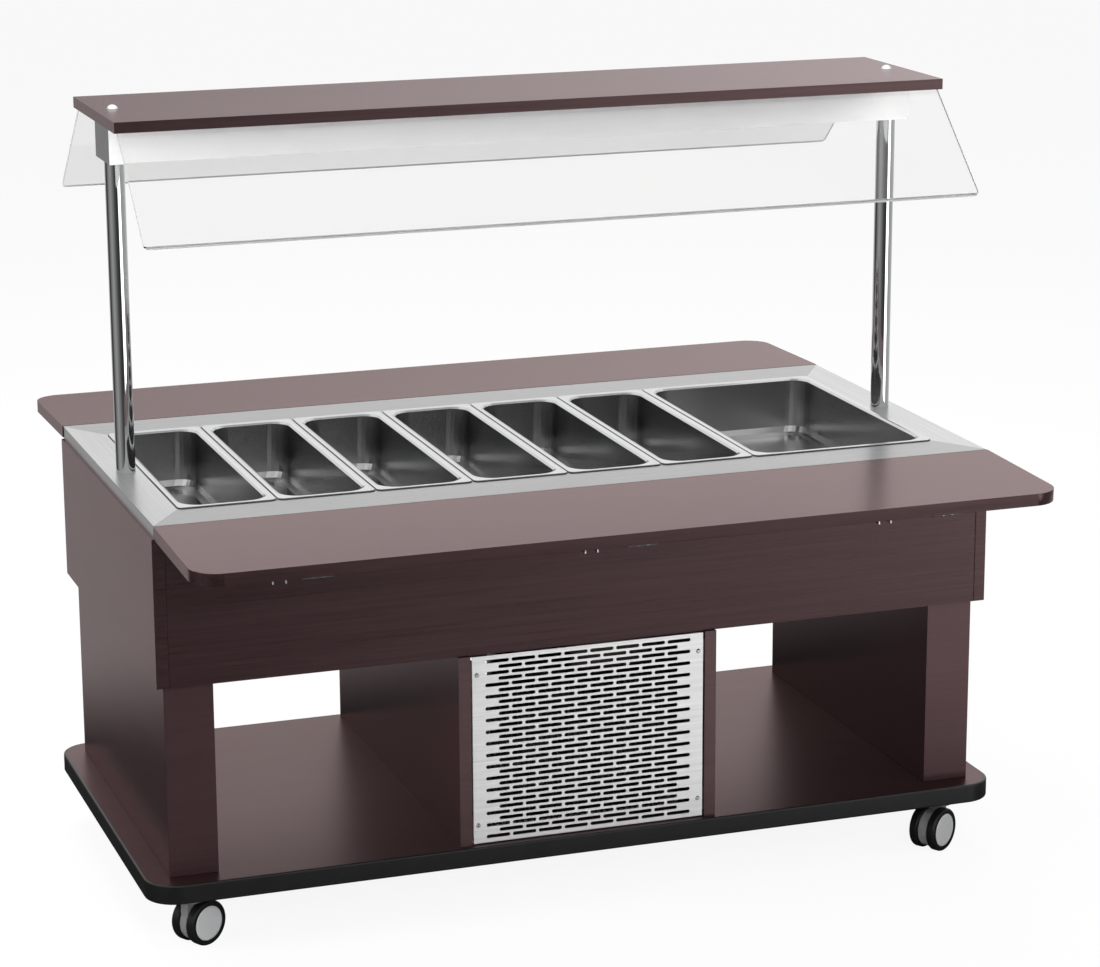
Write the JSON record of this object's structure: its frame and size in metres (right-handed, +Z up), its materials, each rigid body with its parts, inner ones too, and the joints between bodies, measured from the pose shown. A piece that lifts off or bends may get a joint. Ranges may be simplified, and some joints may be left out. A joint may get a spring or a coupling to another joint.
{
  "type": "buffet trolley",
  "caption": "Refrigerated buffet trolley with lift-out steel pans, fold-down shelves, lit canopy with glass panes, slotted grille and swivel castors.",
  "frame": {"origin": "middle of the footprint, on the floor", "axes": "+X along the trolley to the right as seen from the front, -Y to the front, +Z up"},
  "size_m": [1.472, 1.2474, 1.312],
  "materials": {
    "wood_laminate": "satin wood-grain laminate, dark wenge",
    "bumper_rubber": "black moulded edge",
    "castor_grey": "grey moulded plastic",
    "tyre_rubber": "black tread",
    "satin_steel": "satin stainless steel",
    "pan_steel": "drawn stainless steel",
    "polished_steel": "polished stainless steel",
    "chrome": "mirror chrome",
    "zinc_plate": "zinc-plated steel",
    "black_plastic": "black moulded plastic",
    "black_enamel": "black enamel",
    "fan_plastic": "dark moulded plastic",
    "fin_aluminium": "mill finish fins",
    "rocker_plastic": "red rocker",
    "foam": "cut foam insulation",
    "lamp_white": "opal lamp",
    "clear_glass": "clear safety glass"
  },
  "bodies": {
    "trolley": {"base_board": "wood_laminate", "pedestals": "wood_laminate", "compartment_sides": "wood_laminate", "end_panels": "wood_laminate", "front_apron": "wood_laminate", "rear_apron": "wood_laminate", "body_floor": "wood_laminate", "canopy_board": "wood_laminate", "bumper": "bumper_rubber", "front_grille": "satin_steel", "rear_panel": "satin_steel", "steel_top": "satin_steel", "well_liner": "satin_steel", "pan_bars": "satin_steel", "light_box": "polished_steel", "canopy_posts": "chrome", "dome_nuts": "chrome", "castor_plates": "zinc_plate", "unit_tray": "zinc_plate", "wall_arms": "zinc_plate", "panel_screws": "zinc_plate", "control_unit": "black_plastic", "cable_gland": "black_plastic", "fan_motor": "black_enamel", "compressor": "black_enamel", "condenser": "fin_aluminium", "insulation": "foam", "lamp": "lamp_white", "front_glass": "clear_glass", "rear_glass": "clear_glass"},
    "front_leaf": {"front_shelf": "wood_laminate", "front_shelf_arms": "zinc_plate"},
    "front_lower_stays": {"front_lower_links": "zinc_plate"},
    "front_upper_stays": {"front_upper_links": "zinc_plate"},
    "rear_leaf": {"rear_shelf": "wood_laminate", "rear_shelf_arms": "zinc_plate"},
    "rear_lower_stays": {"rear_lower_links": "zinc_plate"},
    "rear_upper_stays": {"rear_upper_links": "zinc_plate"},
    "pan_1_body": {"pan_1": "pan_steel"},
    "pan_2_body": {"pan_2": "pan_steel"},
    "pan_3_body": {"pan_3": "pan_steel"},
    "pan_4_body": {"pan_4": "pan_steel"},
    "pan_5_body": {"pan_5": "pan_steel"},
    "pan_6_body": {"pan_6": "pan_steel"},
    "pan_7_body": {"pan_7": "pan_steel"},
    "castor_fl_fork": {"castor_fl_housing": "castor_grey"},
    "castor_fl_wheels": {"castor_fl_tyres": "tyre_rubber", "castor_fl_hubs": "castor_grey"},
    "castor_fr_fork": {"castor_fr_housing": "castor_grey"},
    "castor_fr_wheels": {"castor_fr_tyres": "tyre_rubber", "castor_fr_hubs": "castor_grey"},
    "castor_rl_fork": {"castor_rl_housing": "castor_grey"},
    "castor_rl_wheels": {"castor_rl_tyres": "tyre_rubber", "castor_rl_hubs": "castor_grey"},
    "castor_rr_fork": {"castor_rr_housing": "castor_grey"},
    "castor_rr_wheels": {"castor_rr_tyres": "tyre_rubber", "castor_rr_hubs": "castor_grey"},
    "fan_rotor": {"fan_blades": "fan_plastic"},
    "power_rocker": {"power_switch": "rocker_plastic"},
    "light_rocker": {"light_switch": "rocker_plastic"}
  },
  "joints": [
    {"name": "front_leaf_fold", "type": "hinge", "parent": "trolley", "child": "front_leaf", "pos_m": [0, -0.361, 0.679], "axis": [1, 0, 0], "range_deg": [0, 88.67]},
    {"name": "front_lower_stay_turn", "type": "hinge", "parent": "trolley", "child": "front_lower_stays", "pos_m": [0, -0.361, 0.619], "axis": [-1, 0, 0], "range_deg": [0, 69.4]},
    {"name": "front_upper_stay_turn", "type": "hinge", "parent": "front_leaf", "child": "front_upper_stays", "pos_m": [0, -0.51096, 0.67552], "axis": [1, 0, 0], "range_deg": [0, 22.03]},
    {"name": "rear_leaf_fold", "type": "hinge", "parent": "trolley", "child": "rear_leaf", "pos_m": [0, 0.361, 0.679], "axis": [-1, 0, 0], "range_deg": [0, 88.67]},
    {"name": "rear_lower_stay_turn", "type": "hinge", "parent": "trolley", "child": "rear_lower_stays", "pos_m": [0, 0.361, 0.619], "axis": [1, 0, 0], "range_deg": [0, 69.4]},
    {"name": "rear_upper_stay_turn", "type": "hinge", "parent": "rear_leaf", "child": "rear_upper_stays", "pos_m": [0, 0.51096, 0.67552], "axis": [-1, 0, 0], "range_deg": [0, 22.03]},
    {"name": "pan_1_lift", "type": "slide", "parent": "trolley", "child": "pan_1_body", "axis": [0, 0, 1], "range_m": [0, 0.2]},
    {"name": "pan_2_lift", "type": "slide", "parent": "trolley", "child": "pan_2_body", "axis": [0, 0, 1], "range_m": [0, 0.2]},
    {"name": "pan_3_lift", "type": "slide", "parent": "trolley", "child": "pan_3_body", "axis": [0, 0, 1], "range_m": [0, 0.2]},
    {"name": "pan_4_lift", "type": "slide", "parent": "trolley", "child": "pan_4_body", "axis": [0, 0, 1], "range_m": [0, 0.2]},
    {"name": "pan_5_lift", "type": "slide", "parent": "trolley", "child": "pan_5_body", "axis": [0, 0, 1], "range_m": [0, 0.2]},
    {"name": "pan_6_lift", "type": "slide", "parent": "trolley", "child": "pan_6_body", "axis": [0, 0, 1], "range_m": [0, 0.2]},
    {"name": "pan_7_lift", "type": "slide", "parent": "trolley", "child": "pan_7_body", "axis": [0, 0, 1], "range_m": [0, 0.2]},
    {"name": "castor_fl_swivel", "type": "hinge", "parent": "trolley", "child": "castor_fl_fork", "pos_m": [-0.66, -0.303, 0.09], "axis": [0, 0, 1], "continuous": true},
    {"name": "castor_fl_roll", "type": "hinge", "parent": "castor_fl_fork", "child": "castor_fl_wheels", "pos_m": [-0.64426, -0.29427, 0.0375], "axis": [0.4848, -0.8746, 0], "continuous": true},
    {"name": "castor_fr_swivel", "type": "hinge", "parent": "trolley", "child": "castor_fr_fork", "pos_m": [0.66, -0.303, 0.09], "axis": [0, 0, 1], "continuous": true},
    {"name": "castor_fr_roll", "type": "hinge", "parent": "castor_fr_fork", "child": "castor_fr_wheels", "pos_m": [0.64473, -0.31254, 0.0375], "axis": [-0.5299, 0.848, 0], "continuous": true},
    {"name": "castor_rl_swivel", "type": "hinge", "parent": "trolley", "child": "castor_rl_fork", "pos_m": [-0.66, 0.303, 0.09], "axis": [0, 0, 1], "continuous": true},
    {"name": "castor_rl_roll", "type": "hinge", "parent": "castor_rl_fork", "child": "castor_rl_wheels", "pos_m": [-0.642, 0.303, 0.0375], "axis": [0, -1, 0], "continuous": true},
    {"name": "castor_rr_swivel", "type": "hinge", "parent": "trolley", "child": "castor_rr_fork", "pos_m": [0.66, 0.303, 0.09], "axis": [0, 0, 1], "continuous": true},
    {"name": "castor_rr_roll", "type": "hinge", "parent": "castor_rr_fork", "child": "castor_rr_wheels", "pos_m": [0.65384, 0.31991, 0.0375], "axis": [0.9397, 0.342, 0], "continuous": true},
    {"name": "fan_spin", "type": "hinge", "parent": "trolley", "child": "fan_rotor", "pos_m": [0, -0.21, 0.248], "axis": [0, -1, 0], "continuous": true},
    {"name": "power_switch_press", "type": "hinge", "parent": "trolley", "child": "power_rocker", "pos_m": [-0.058, 0.356, 0.402], "axis": [1, 0, 0], "range_deg": [0, 12]},
    {"name": "light_switch_press", "type": "hinge", "parent": "trolley", "child": "light_rocker", "pos_m": [-0.036, 0.356, 0.402], "axis": [1, 0, 0], "range_deg": [0, 12]}
  ],
  "couplings": [
    {"joint": "front_lower_stay_turn", "follows": "front_leaf_fold", "ratio": 0.7821},
    {"joint": "front_upper_stay_turn", "follows": "front_leaf_fold", "ratio": 0.2479},
    {"joint": "rear_lower_stay_turn", "follows": "rear_leaf_fold", "ratio": 0.7821},
    {"joint": "rear_upper_stay_turn", "follows": "rear_leaf_fold", "ratio": 0.2479}
  ]
}
